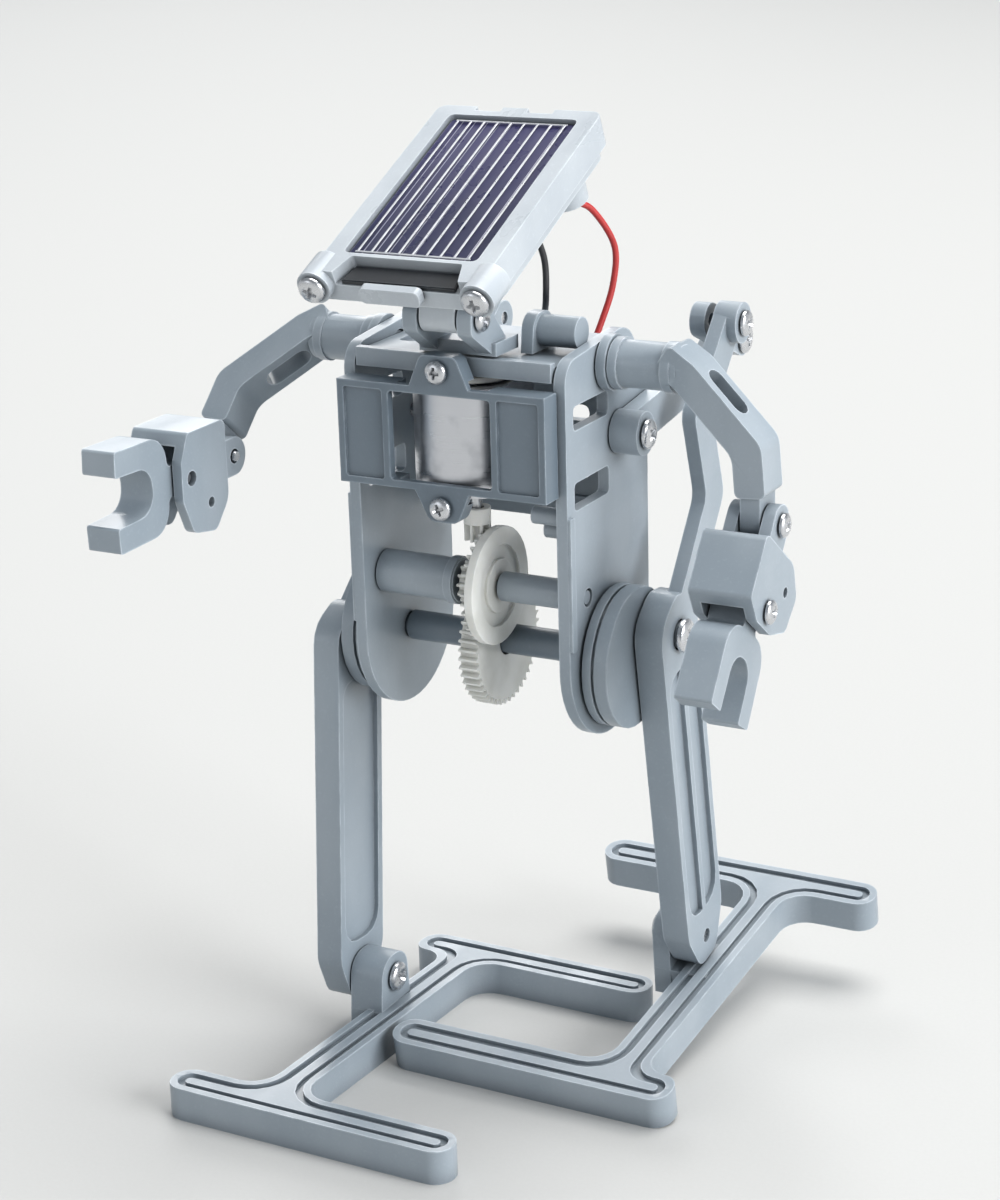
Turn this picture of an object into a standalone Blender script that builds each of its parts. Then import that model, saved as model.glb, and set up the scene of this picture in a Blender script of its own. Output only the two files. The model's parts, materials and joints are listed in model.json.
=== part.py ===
"""A walking toy robot driven by a solar panel, built from snap-together plastic parts.

Run with: blender --background --python part.py
The robot stands on z = 0 and faces -Y; its own left side is +X. Units are metres.
"""

import math

import bmesh
import bpy
from mathutils import Matrix, Vector

MM = 0.001
GAP = 0.3  # clearance between neighbouring pieces, mm

# ---- driving dimensions, mm ------------------------------------------------
PLATE_IN = 18.2  # inner face of a side plate, from the middle plane
PLATE_T = 2.0
PLATE_FRONT = -13.9
PLATE_REAR = 16.3
PLATE_TOP = 129.0
CRANK = (1.0, 74.5)  # crank axis (y, z)
CRANK_R = 6.1  # throw of the crank pins
CRANK_ANGLE = 29.5  # direction of the left pin from the axis, degrees
DISC_R = 12.0
LEG_IN = 25.6  # inner face of a leg
LEG_T = 5.0
LEG_W = 14.4
LEAN_LEFT = 10.0  # lean of each leg, foot backwards, degrees
LEAN_RIGHT = -4.0
ARBOR = (-7.0, 86.7)  # axis of the crown gear (y, z)
SHOULDER = (1.0, 124.4)  # shoulder axis (y, z)
BRACKET_X = 18.9
BRACKET_Y = (-18.6, -14.3)
BRACKET_Z = (105.3, 122.6)
MOTOR_R = 10.0  # can radius before its two flats
MOTOR_FLAT = 7.8
MODULE = 0.5  # gear module
OUTPUT_TEETH = 45
ARBOR_TEETH = 14
CROWN_TEETH = 36
PINION_TEETH = 8
FOOT_H = 6.0
FOOT_W = 7.0
FOOT_L = 64.0  # between the middle lines of the two cross bars
FOOT_SKEW = 3.8
FOOT_A = (-19.0, 35.5)  # ends of the wider-set cross bar, from the long bar
FOOT_B = (-10.5, 42.5)
ANKLE_H = 11.0  # ankle axis above the sole
TILT = 25.0  # solar panel from level, degrees
NECK = (-17.5, 134.0)  # panel tilt axis (y, z)
ARM_RAISE_RIGHT = 40.0  # right arm raised forwards, degrees
HAND_LEFT = 37.0  # each hand turned forwards from straight down
HAND_RIGHT = 90.0
CLAW_LEFT = 34.0
CLAW_RIGHT = 90.0

STAND_Y = 1.4  # puts the middle of the robot over the origin

# ---- materials ---------------------------------------------------------------
COLOURS = {
    "grey_plastic": ((0.40, 0.46, 0.52), 0.38, 0.0),
    "dark_plastic": ((0.12, 0.14, 0.17), 0.45, 0.0),
    "white_gear": ((0.82, 0.82, 0.78), 0.40, 0.0),
    "steel": ((0.62, 0.63, 0.65), 0.28, 1.0),
    "silicon": ((0.03, 0.03, 0.10), 0.15, 0.2),
    "red_wire": ((0.60, 0.04, 0.04), 0.40, 0.0),
    "black_wire": ((0.02, 0.02, 0.02), 0.45, 0.0),
    "pale_plastic": ((0.70, 0.75, 0.78), 0.35, 0.0),
}


def material(name):
    found = bpy.data.materials.get(name)
    if found:
        return found
    colour, rough, metal = COLOURS[name]
    made = bpy.data.materials.new(name)
    made.use_nodes = True
    shader = made.node_tree.nodes["Principled BSDF"]
    shader.inputs["Base Color"].default_value = (*colour, 1.0)
    shader.inputs["Roughness"].default_value = rough
    shader.inputs["Metallic"].default_value = metal
    return made


# ---- solid helpers: every helper gives a closed bmesh in mm --------------------
def prism(outline, axis, low, high):
    """An outline extruded along an axis. It is (y, z) for x, (x, z) for y, (x, y) for z."""
    area = sum(a[0] * b[1] - b[0] * a[1] for a, b in zip(outline, outline[1:] + outline[:1]))
    if area < 0:
        outline = outline[::-1]
    if axis == "y":
        outline = outline[::-1]
    bm = bmesh.new()

    def place(p, d):
        return {"x": (d, p[0], p[1]), "y": (p[0], d, p[1]), "z": (p[0], p[1], d)}[axis]

    lower = [bm.verts.new(place(p, low)) for p in outline]
    upper = [bm.verts.new(place(p, high)) for p in outline]
    bm.faces.new(lower[::-1])
    bm.faces.new(upper)
    count = len(outline)
    for i in range(count):
        j = (i + 1) % count
        bm.faces.new((lower[i], lower[j], upper[j], upper[i]))
    return bm


def circle(centre, radius, segments=20):
    step = 2 * math.pi / segments
    return [
        (centre[0] + radius * math.cos(i * step), centre[1] + radius * math.sin(i * step))
        for i in range(segments)
    ]


def rod(axis, centre, radius, low, high, segments=20):
    return prism(circle(centre, radius, segments), axis, low, high)


def rect(a0, b0, a1, b1):
    return [(a0, b0), (a1, b0), (a1, b1), (a0, b1)]


def block(x0, x1, y0, y1, z0, z1):
    return prism(rect(x0, y0, x1, y1), "z", z0, z1)


def rounded(corners, steps=5):
    """An outline whose corners (u, v, radius) are rounded off by arcs."""
    points = []
    count = len(corners)
    for i, (u, v, radius) in enumerate(corners):
        here = Vector((u, v))
        if radius <= 0:
            points.append((u, v))
            continue
        to_prev = (Vector(corners[i - 1][:2]) - here).normalized()
        to_next = (Vector(corners[(i + 1) % count][:2]) - here).normalized()
        half = to_prev.angle(to_next) / 2
        centre = here + (to_prev + to_next).normalized() * radius / math.sin(half)
        first = here + to_prev * radius / math.tan(half) - centre
        sweep = math.pi - 2 * half
        turn = -1 if to_prev.x * to_next.y - to_prev.y * to_next.x > 0 else 1
        for k in range(steps + 1):
            angle = turn * sweep * k / steps
            c, s = math.cos(angle), math.sin(angle)
            points.append((centre.x + first.x * c - first.y * s, centre.y + first.x * s + first.y * c))
    return points


def round_rect(a0, b0, a1, b1, radius, steps=2):
    return rounded([(a, b, radius) for a, b in rect(a0, b0, a1, b1)], steps)


def strip(points, width, end_radius=None, bend=4.0, steps=6):
    """The outline of a bar of one width along a bent line, with rounded ends."""
    half = width / 2
    end = half * 0.98 if end_radius is None else end_radius
    line = [Vector(p) for p in points]
    count = len(line)
    first = (line[1] - line[0]).normalized()
    last = (line[-1] - line[-2]).normalized()
    line[0] = line[0] - first * half
    line[-1] = line[-1] + last * half
    left, right = [], []
    for i, p in enumerate(line):
        before = (p - line[i - 1]).normalized() if i else first
        after = (line[i + 1] - p).normalized() if i < count - 1 else last
        normal = Vector((-(before + after).y, (before + after).x)).normalized()
        reach = half / max(0.3, normal.dot(Vector((-after.y, after.x))))
        radius = end if i in (0, count - 1) else bend
        left.append((*(p + normal * reach), radius))
        right.append((*(p - normal * reach), radius))
    return rounded(right + left[::-1], steps)


def gear_outline(centre, teeth, phase=0.0):
    """A spur gear's outline: straight-sided teeth with a little backlash."""
    pitch = MODULE * teeth / 2
    tip, root = pitch + 0.30, pitch - 0.62
    step = 2 * math.pi / teeth
    points = []
    for i in range(teeth):
        middle = phase + i * step
        for radius, offset in ((root, -0.27), (tip, -0.11), (tip, 0.11), (root, 0.27)):
            angle = middle + offset * step
            points.append((centre[0] + radius * math.cos(angle), centre[1] + radius * math.sin(angle)))
    return points


def joined(solids):
    """Several closed solids in one bmesh, as separate bodies."""
    whole = bmesh.new()
    for solid in solids:
        spare = bpy.data.meshes.new("spare")
        solid.to_mesh(spare)
        whole.from_mesh(spare)
        solid.free()
        bpy.data.meshes.remove(spare)
    return whole


def as_object(name, solid):
    mesh = bpy.data.meshes.new(name)
    solid.to_mesh(mesh)
    solid.free()
    made = bpy.data.objects.new(name, mesh)
    bpy.context.scene.collection.objects.link(made)
    return made


def boolean(base, other, operation):
    """Base with other added (UNION) or cut away (DIFFERENCE)."""
    first = as_object("base", base)
    second = as_object("other", other)
    step = first.modifiers.new("step", "BOOLEAN")
    step.object = second
    step.operation = operation
    step.solver = "EXACT"
    graph = bpy.context.evaluated_depsgraph_get()
    mesh = bpy.data.meshes.new_from_object(first.evaluated_get(graph))
    result = bmesh.new()
    result.from_mesh(mesh)
    for spare in (first, second):
        data = spare.data
        bpy.data.objects.remove(spare)
        bpy.data.meshes.remove(data)
    bpy.data.meshes.remove(mesh)
    return result


def plus(base, *others):
    for other in others:
        base = boolean(base, other, "UNION")
    return base


def minus(base, *others):
    for other in others:
        base = boolean(base, other, "DIFFERENCE")
    return base


def moved(solid, matrix):
    bmesh.ops.transform(solid, matrix=matrix, verts=solid.verts)
    return solid


def mirrored(solid):
    """The same solid on the other side of the middle plane."""
    bmesh.ops.scale(solid, vec=(-1, 1, 1), verts=solid.verts)
    bmesh.ops.reverse_faces(solid, faces=solid.faces)
    return solid


def turned_x(angle, pivot):
    """A turn about the X line through pivot (y, z), degrees."""
    there = Matrix.Translation((0, pivot[0], pivot[1]))
    return there @ Matrix.Rotation(math.radians(angle), 4, "X") @ there.inverted()


def add(name, solid, look, origin=(0.0, 0.0, 0.0), smooth=35.0):
    """Turns a solid in mm into a finished object whose origin is at the given point."""
    bmesh.ops.remove_doubles(solid, verts=solid.verts, dist=1e-4)
    bmesh.ops.translate(solid, vec=-Vector(origin), verts=solid.verts)
    bmesh.ops.scale(solid, vec=(MM, MM, MM), verts=solid.verts)
    made = as_object(name, solid)
    made.location = Vector(origin) * MM
    made.data.materials.append(material(look))
    made.data.shade_smooth()
    made.data.set_sharp_from_angle(angle=math.radians(smooth))
    return made


def screw(axis, centre, head_low, head_high, head_r=1.9, tip=None, shank_r=0.9, slot_at_high=True):
    """A cross-head screw: a head with a cross recess, and a plain shank to tip."""
    low, high = sorted((head_low, head_high))
    solid = rod(axis, centre, head_r, low, high, 12)
    face = high if slot_at_high else low
    depth = 0.55 if slot_at_high else -0.55
    a, b = centre
    cut_low, cut_high = sorted((face - depth, face + depth))
    long, thin = head_r * 0.62, head_r * 0.2
    cross = [
        (a - thin, b - long), (a + thin, b - long), (a + thin, b - thin), (a + long, b - thin),
        (a + long, b + thin), (a + thin, b + thin), (a + thin, b + long), (a - thin, b + long),
        (a - thin, b + thin), (a - long, b + thin), (a - long, b - thin), (a - thin, b - thin),
    ]
    solid = minus(solid, prism(cross, axis, cut_low, cut_high))
    if tip is not None:
        inner = high - 0.2 if tip > high else low + 0.2
        shank_low, shank_high = sorted((inner, tip))
        solid = plus(solid, rod(axis, centre, shank_r, shank_low, shank_high, 6))
    return solid


def both_sides(name, build, look, origin=None, smooth=35.0):
    """Makes the left piece with build() and the right one as its mirror image."""
    left = origin or (0.0, 0.0, 0.0)
    right = (-left[0], left[1], left[2])
    add(name + "_left", build(), look, left, smooth)
    add(name + "_right", mirrored(build()), look, right, smooth)


# ---- where the linkage stands ---------------------------------------------------
def crank_pin(side):
    angle = math.radians(CRANK_ANGLE)
    return (
        CRANK[0] + side * CRANK_R * math.cos(angle),
        CRANK[1] + side * CRANK_R * math.sin(angle),
    )


def leg_point(side, local):
    """A point (y, z) of a leg, given from its crank pin with the leg upright."""
    lean = math.radians(LEAN_LEFT if side > 0 else LEAN_RIGHT)
    pin = crank_pin(side)
    c, s = math.cos(lean), math.sin(lean)
    return (pin[0] + local[0] * c - local[1] * s, pin[1] + local[0] * s + local[1] * c)


LEG_TOP = (30.6, 43.8)  # upper pivot of a leg, from its crank pin


def rocker_pivot():
    """The fixed rear pivot: level between the two leg tops and the same way behind both."""
    a = Vector(leg_point(1, LEG_TOP))
    b = Vector(leg_point(-1, LEG_TOP))
    across = (a - b).normalized()
    behind = Vector((across.y, -across.x))
    if behind.x < 0:
        behind = -behind
    return tuple((a + b) / 2 + behind * 13.5)


def leg_length():
    """Crank pin to ankle, so that the right sole lies on z = 0."""
    return (crank_pin(-1)[1] - ANKLE_H) / math.cos(math.radians(LEAN_RIGHT))


def ankle(side):
    return leg_point(side, (0.0, -leg_length()))


# ---- torso ------------------------------------------------------------------------
PLATE_OUT = PLATE_IN + PLATE_T
LOCATING_PEGS = ((-10.6, 101.0), (-6.2, 97.4))  # pegs inside the left plate, (y, z)


def side_plate():
    middle = (PLATE_FRONT + PLATE_REAR) / 2
    half = (PLATE_REAR - PLATE_FRONT) / 2
    low = CRANK[1] + 1.5
    arc = [
        (middle + half * math.cos(a), low + half * math.sin(a))
        for a in [math.pi + math.pi * k / 24 for k in range(25)]
    ]
    corners = [
        (PLATE_REAR, low, 0), (PLATE_REAR, 119, 6), (9.5, PLATE_TOP, 6),
        (PLATE_FRONT, PLATE_TOP - 2, 4), (PLATE_FRONT, low, 0),
    ]
    top = rounded(corners, 5)[1:-1]
    plate = prism(arc + top, "x", PLATE_IN, PLATE_OUT)
    windows = joined(
        [
            prism(round_rect(-11.2, 115.6, 1.4, 119.6, 0.8, 2), "x", 16, 23),
            prism(round_rect(-11.2, 102.4, 1.4, 107.0, 0.8, 2), "x", 16, 23),
            rod("x", CRANK, 2.3, 16, 23, 20),
            rod("x", SHOULDER, 2.3, 16, 23, 20),
            rod("x", (4.6, 112.0), 1.2, 16, 23, 12),
            rod("x", ARBOR, 1.6, 16, 23, 16),
        ]
    )
    plate = minus(plate, windows)
    front_rib = strip([(PLATE_FRONT + 0.9, 80.0), (PLATE_FRONT + 0.9, 101.0)], 1.6, 0.3)
    return plus(plate, prism(front_rib, "x", PLATE_OUT - 0.4, PLATE_OUT + 0.5))


def make_side_plates():
    pegs = [rod("x", place, 1.5, 12.6, PLATE_IN + 0.5, 16) for place in LOCATING_PEGS]
    add("side_plate_left", plus(side_plate(), *pegs), "grey_plastic")
    add("side_plate_right", mirrored(side_plate()), "grey_plastic")


def make_motor_bracket():
    y0, y1 = BRACKET_Y
    z0, z1 = BRACKET_Z
    body = block(-BRACKET_X, BRACKET_X, y0, y1, z0, z1)
    back = block(-17.2, 17.2, y0 + 1.6, y1 + 1, z0 + 1.3, z1 - 1.3)
    window = prism(round_rect(-9.4, z0 + 1.3, 9.2, z1 - 1.3, 0.5, 2), "y", y0 - 1, y1 + 1)
    panels = joined(
        [
            prism(round_rect(-BRACKET_X + 1.2, z0 + 1.2, -10.6, z1 - 1.2, 0.3, 1), "y", y0 - 1, y0 + 0.5),
            prism(round_rect(10.4, z0 + 1.2, BRACKET_X - 1.2, z1 - 1.2, 0.3, 1), "y", y0 - 1, y0 + 0.5),
        ]
    )
    high, low = z1 + 5.2, z0 - 5.0
    top_outline = [(-5.6, z1 - 0.5, 0), (5.6, z1 - 0.5, 0), (3.2, high, 1.4), (-3.2, high, 1.4)]
    low_outline = [(5.2, z0 + 0.5, 0), (-5.2, z0 + 0.5, 0), (-2.4, low, 1.6), (2.8, low, 1.6)]
    top_lug = prism(rounded(top_outline, 4), "y", y0, y0 + 3.2)
    low_lug = prism(rounded(low_outline, 4), "y", y0, y0 + 3.2)
    body = minus(plus(minus(body, back, window, panels), top_lug, low_lug),
                 rod("y", (0, z1 + 2.6), 1.2, y0 - 1, y0 + 5, 12),
                 rod("y", (0, z0 - 2.6), 1.2, y0 - 1, y0 + 5, 12),
                 block(-8.3, 8.3, ARBOR[0] - MOTOR_R - 0.4, y1 + 1, z0 - 2, z1 + 1.2))
    add("motor_bracket", body, "grey_plastic")


def make_motor():
    y = ARBOR[0]
    can = rod("z", (0, y), MOTOR_R, 104.0, 122.0, 48)
    sides = joined([block(-20, -MOTOR_FLAT, -30, 20, 90, 140), block(MOTOR_FLAT, 20, -30, 20, 90, 140)])
    can = minus(can, sides)
    nose = rod("z", (0, y), 3.0, 102.0, 104.2)
    inside = rod("z", (0, y), MOTOR_FLAT - 0.9, 105.0, 123.0, 24)
    add("motor_can", minus(plus(can, nose), inside, rod("z", (0, y), 1.4, 100, 111, 12)), "steel")
    cap = rod("z", (0, y), 7.2, 122.3, 123.4)
    tabs = [block(x - 1.0, x + 1.0, y + 5.0, y + 11.5, 122.5, 123.1) for x in (-3.5, 3.5)]
    add("motor_end_cap", plus(cap, *tabs), "dark_plastic")


def make_top_plate():
    plate = prism(round_rect(-17.9, -13.8, 17.9, 12.0, 1.0, 2), "z", 124.0, 126.2)
    front = block(-17.8, 17.8, -14.0, -12.4, 123.8, 126.9)
    plate = plus(plate, front)
    plate = minus(plate, rod("y", (0, BRACKET_Z[1] + 2.6), 1.2, -16, -9, 12),
                  prism(round_rect(-15.5, -4.5, -6.0, 8.0, 1.0, 2), "z", 125.2, 128),
                  rod("z", (5.0, 8.0), 1.3, 120, 128, 12))
    add("top_plate", plate, "grey_plastic")


def make_rear_brace():
    plate = prism(round_rect(-17.9, 93.0, 17.9, 121.0, 1.2, 3), "y", 13.0, 15.2)
    ribs = joined([block(-17.5, 17.5, 12.2, 13.2, z - 0.6, z + 0.6) for z in (97.0, 107.0, 117.0)])
    plate = plus(plate, ribs)
    vents = joined(
        [prism(round_rect(-11, z - 1.4, 11, z + 1.4, 1.2, 3), "y", 10, 18) for z in (102.0, 112.0)]
    )
    add("rear_brace", minus(plate, vents), "grey_plastic")


def make_arbor_tube():
    left_end = 17.9
    body = rod("x", ARBOR, 1.2, -20.0, 20.0, 16)
    body = plus(body, rod("x", ARBOR, 3.7, -left_end, -3.1), rod("x", ARBOR, 4.1, -4.9, -3.3),
                rod("x", ARBOR, 2.5, 4.6, left_end, 24))
    add("arbor_tube", body, "grey_plastic")


def make_neck():
    y, z = NECK
    base = block(-6.0, 8.0, -13.6, -6.0, 127.2, 129.4)
    side = [
        (-13.2, 127.4, 0), (-7.0, 127.4, 0), (y + 2.8, z + 2.6, 2.4),
        (y - 2.6, z + 2.6, 2.4), (y - 2.6, z - 2.2, 1.6),
    ]
    ears = [prism(rounded(side, 4), "x", x, x + 2.6) for x in (-5.2, 4.6)]
    post = minus(plus(base, *ears), rod("x", NECK, 1.3, -9, 12, 12))
    add("neck_post", post, "grey_plastic")
    pin = screw("x", NECK, 7.5, 8.7, 1.9, tip=-6.0, shank_r=1.0)
    add("neck_pin", pin, "steel")


def make_top_tube():
    y, z = -3.0, 129.7
    outline = [(y - 4.0, 126.5, 0), (y + 4.0, 126.5, 0), (y + 3.2, z + 3.0, 2.8), (y - 3.2, z + 3.0, 2.8)]
    ear = prism(rounded(outline, 5), "x", 8.9, 11.0)
    tube = rod("x", (y, z), 2.6, 10.6, 17.9, 24)
    add("top_tube", plus(ear, tube), "grey_plastic")


def shoulder_socket():
    body = rod("x", SHOULDER, 4.7, PLATE_OUT + 0.3, PLATE_OUT + 1.9)
    return plus(body, rod("x", SHOULDER, 2.0, 18.5, 31.2, 16))


def make_shoulder_sockets():
    both_sides("shoulder_socket", shoulder_socket, "grey_plastic")


BOSS = (4.6, 112.0)  # screw boss that holds the rear arm, (y, z)


def rear_arm():
    pivot = rocker_pivot()
    bar = prism(strip([BOSS, (pivot[0] - 6.0, pivot[1] - 4.0), pivot], 6.4, bend=6.0), "x", 20.5, 23.3)
    boss = rod("x", BOSS, 3.7, 20.5, 25.4, 24)
    return minus(plus(bar, boss), joined([rod("x", BOSS, 1.2, 18, 28, 12), rod("x", pivot, 1.2, 18, 28, 12)]))


def make_rear_arms():
    both_sides("rear_arm", rear_arm, "grey_plastic")


def make_torso_screws():
    y0 = BRACKET_Y[0]
    for name, z in (("upper", BRACKET_Z[1] + 2.6), ("lower", BRACKET_Z[0] - 2.6)):
        pin = screw("y", (0, z), y0 - 1.5, y0 - 0.3, 1.9, tip=y0 + 5.4, slot_at_high=False)
        add("bracket_screw_" + name, pin, "steel")
    both_sides("rear_arm_screw", lambda: screw("x", BOSS, 25.7, 26.8, 2.5, tip=17.0), "steel")


# ---- gear train and crank -------------------------------------------------------------
def make_crank_shaft():
    body = rod("x", CRANK, 2.6, -17.6, 17.6, 24)
    body = plus(body, rod("x", CRANK, 1.9, -24.0, 24.0, 20))
    add("crank_shaft", body, "dark_plastic", (0, *CRANK))


def toward(a, b):
    return math.atan2(b[1] - a[1], b[0] - a[0])


def make_output_gear():
    # A gap between two teeth faces the arbor pinion, which holds a tooth there.
    phase = toward(CRANK, ARBOR) + math.pi / OUTPUT_TEETH
    gear = prism(gear_outline(CRANK, OUTPUT_TEETH, phase), "x", -2.6, 0.8)
    hub = rod("x", CRANK, 4.4, -4.6, -2.0, 20)
    dish = minus(rod("x", CRANK, 9.2, -3.2, -1.8, 24), rod("x", CRANK, 5.4, -4, 0, 16))
    gear = minus(plus(minus(gear, dish), hub), rod("x", CRANK, 2.9, -6, 4, 20))
    add("output_gear", gear, "white_gear", (0, *CRANK))


def make_crown_gear():
    y, z = ARBOR
    disc = rod("x", ARBOR, 10.0, 2.5, 4.0, 36)
    teeth = []
    step = 2 * math.pi / CROWN_TEETH
    for i in range(CROWN_TEETH):
        # The teeth stand either side of straight up, where the motor pinion sits.
        middle = math.pi / 2 + (i + 0.5) * step
        outline = []
        for radius, offset in ((7.9, -0.13), (9.7, -0.13), (9.7, 0.13), (7.9, 0.13)):
            a = middle + offset * step
            outline.append((y + radius * math.cos(a), z + radius * math.sin(a)))
        teeth.append(prism(outline, "x", 1.55, 2.8))
    pinion = prism(gear_outline(ARBOR, ARBOR_TEETH, toward(ARBOR, CRANK)), "x", -2.3, 3.0)
    web = minus(rod("x", ARBOR, 7.0, 3.4, 4.6, 20), rod("x", ARBOR, 4.6, 3, 5, 16))
    gear = minus(plus(minus(disc, web), joined(teeth), pinion), rod("x", ARBOR, 1.5, -4, 6, 16))
    add("crown_gear", gear, "white_gear", (0, *ARBOR))


def make_motor_rotor():
    y = ARBOR[0]
    low = ARBOR[1] + 7.6
    add("motor_shaft", rod("z", (0, y), 0.95, low, 121.5, 12), "steel", (0, y, 100))
    core = rod("z", (0, y), 5.0, 108.0, 118.0)
    for k in range(3):
        slot = block(2.8, 6.0, -0.6, 0.6, 107.0, 119.0)
        turn = Matrix.Translation((0, y, 0)) @ Matrix.Rotation(2 * math.pi * k / 3, 4, "Z")
        core = minus(core, moved(slot, turn))
    core = minus(core, rod("z", (0, y), 1.25, 107.0, 119.0, 12))
    add("motor_armature", core, "steel", (0, y, 100))
    pinion = prism(gear_outline((0, y), PINION_TEETH, 0.0), "z", low, low + 5.2)
    pinion = plus(pinion, rod("z", (0, y), 2.3, low + 2.9, low + 5.6, 20))
    pinion = minus(pinion, rod("z", (0, y), 1.25, 80, 120, 12))
    add("motor_pinion", pinion, "white_gear", (0, y, 100))


def crank_disc():
    pin = crank_pin(1)
    inner = rod("x", CRANK, DISC_R, 20.7, 22.3, 30)
    neck = rod("x", CRANK, DISC_R - 0.7, 22.0, 23.0, 30)
    outer = rod("x", CRANK, DISC_R, 22.8, 25.2, 30)
    disc = plus(inner, neck, outer, rod("x", pin, 2.3, 25.0, 30.8, 20))
    return minus(disc, rod("x", CRANK, 2.2, 18, 24.4, 20), rod("x", pin, 1.1, 26, 33, 12))


def make_crank_discs():
    add("crank_disc_left", crank_disc(), "pale_plastic", (0, *CRANK))
    turn = turned_x(180, CRANK)
    add("crank_disc_right", mirrored(moved(crank_disc(), turn)), "pale_plastic", (0, *CRANK))
    for side, name in ((1, "left"), (-1, "right")):
        pin = screw("x", crank_pin(side), 31.1, 32.5, 2.9, tip=28.0, shank_r=0.8)
        add("crank_screw_" + name, pin if side > 0 else mirrored(pin), "steel", (0, *CRANK))


# ---- legs, rockers and feet ---------------------------------------------------------------
def leg():
    """A leg with its crank pin at (0, 0) in (y, z), upright."""
    low, high = LEG_IN, LEG_IN + LEG_T
    half = LEG_W / 2
    bottom = -leg_length()
    bar = prism(
        rounded(
            [
                (-half, 4.0, 5.5), (-half, bottom + 3.0, 6.0), (-3.4, bottom - 4.6, 3.2),
                (3.4, bottom - 4.6, 3.2), (half, bottom + 3.0, 6.0), (half, 7.2, 6.5), (-1.0, 7.2, 4.5),
            ],
            3,
        ),
        "x", low, high,
    )
    route = [(1.6, 2.0), (18.0, 17.6), (15.9, 33.0), LEG_TOP]
    arm = prism(strip(route, 6.6, bend=3.5), "x", high - 2.5, high)
    top_boss = rod("x", LEG_TOP, 3.5, high - 2.5, high + 1.7, 24)
    body = plus(bar, arm, top_boss)
    recess = rounded(
        [
            (-half + 1.5, -6.0, 3.0), (-half + 1.5, bottom + 6.0, 4.0), (half - 1.5, bottom + 6.0, 4.0),
            (half - 1.5, -6.0, 3.0),
        ],
        3,
    )
    rib = prism(rect(-0.7, bottom - 2, 0.7, 0), "x", high - 1.2, high + 1.2)
    face = minus(prism(recess, "x", high - 0.9, high + 1), rib)
    inner_face = prism(recess, "x", low - 1, low + 0.9)
    holes = joined(
        [
            rod("x", (0, 0), 2.7, low - 1, high + 1, 20),
            rod("x", (0, bottom), 1.3, low - 1, high + 1, 12),
            rod("x", LEG_TOP, 1.1, high - 1.2, high + 3, 12),
        ]
    )
    return minus(body, face, inner_face, holes)


def make_legs():
    for side, name in ((1, "left"), (-1, "right")):
        pin = crank_pin(side)
        lean = LEAN_LEFT if side > 0 else LEAN_RIGHT
        place = Matrix.Translation((0, *pin)) @ Matrix.Rotation(math.radians(lean), 4, "X")
        solid = moved(leg(), place)
        outer = LEG_IN + LEG_T
        top = moved(screw("x", LEG_TOP, outer + 2.0, outer + 3.0, 2.2, tip=outer), place)
        if side < 0:
            solid, top = mirrored(solid), mirrored(top)
        add("leg_" + name, solid, "grey_plastic", (side * LEG_IN, *pin))
        add("leg_top_screw_" + name, top, "steel", (side * LEG_IN, *pin))


ROCKER_X = 23.7  # inner face of a rocker


def make_rockers():
    pivot = rocker_pivot()
    for side, name in ((1, "left"), (-1, "right")):
        top = leg_point(side, LEG_TOP)
        bar = prism(strip([pivot, top], 6.0), "x", ROCKER_X, ROCKER_X + 2.8)
        bar = minus(bar, joined([rod("x", pivot, 1.3, 20, 32, 12), rod("x", top, 1.3, 20, 32, 12)]))
        pin = screw("x", pivot, ROCKER_X + 3.1, ROCKER_X + 4.0, 2.5, tip=20.9, shank_r=0.9)
        if side < 0:
            bar, pin = mirrored(bar), mirrored(pin)
        add("rocker_" + name, bar, "pale_plastic", (side * 25.0, *pivot))
        add("rocker_screw_" + name, pin, "steel", (side * 25.0, *pivot))


def foot_outline(inset=0.0, long_end=FOOT_B[1]):
    """The foot from above: a long bar between two offset cross bars."""
    h = FOOT_W / 2 - inset
    half, s = FOOT_L / 2, FOOT_SKEW / 2
    slope = FOOT_SKEW / FOOT_L

    def bar(y):
        return slope * y

    a0, a1 = FOOT_A[0] - s + inset, FOOT_A[1] - s - inset
    b0, b1 = FOOT_B[0] + s + inset, long_end + s - inset
    tip, web = h * 0.97, 5.0 + inset
    front_in, rear_in = -half + h, half - h
    return rounded(
        [
            (a0, -half - h, tip), (a1, -half - h, tip), (a1, front_in, tip),
            (bar(front_in) + h, front_in, web), (bar(rear_in) + h, rear_in, web),
            (b1, rear_in, tip), (b1, half + h, tip), (b0, half + h, tip), (b0, rear_in, min(tip, 2.6)),
            (bar(rear_in) - h, rear_in, min(web, 3.6)), (bar(front_in) - h, front_in, web),
            (a0, front_in, tip),
        ],
        5,
    )


def foot(lug_low, lug_high, lug_y, long_end):
    """A foot with its sole at z = 0 and an ankle lug between two x values."""
    body = prism(foot_outline(0.0, long_end), "z", 0.0, FOOT_H)
    groove = prism(foot_outline(1.3, long_end), "z", FOOT_H - 0.8, FOOT_H + 1)
    spine = prism(foot_outline(2.6, long_end), "z", FOOT_H - 1.5, FOOT_H - 0.15)
    body = plus(minus(body, groove), spine)
    high = ANKLE_H + 4.2
    outline = [(lug_y - 5.4, 0.6, 0), (lug_y + 5.4, 0.6, 0), (lug_y + 4.2, high, 3.8), (lug_y - 4.2, high, 3.8)]
    lug = prism(
        rounded(outline, 5),
        "x", lug_low, lug_high,
    )
    web_low, web_high = min(lug_low, -1.0), max(lug_high, 1.0)
    web = block(web_low, web_high, lug_y - 5.0, lug_y + 5.0, 0.4, FOOT_H - 0.4)
    return minus(plus(body, web, lug), rod("x", (lug_y, ANKLE_H), 1.3, -40, 40, 12))


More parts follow.
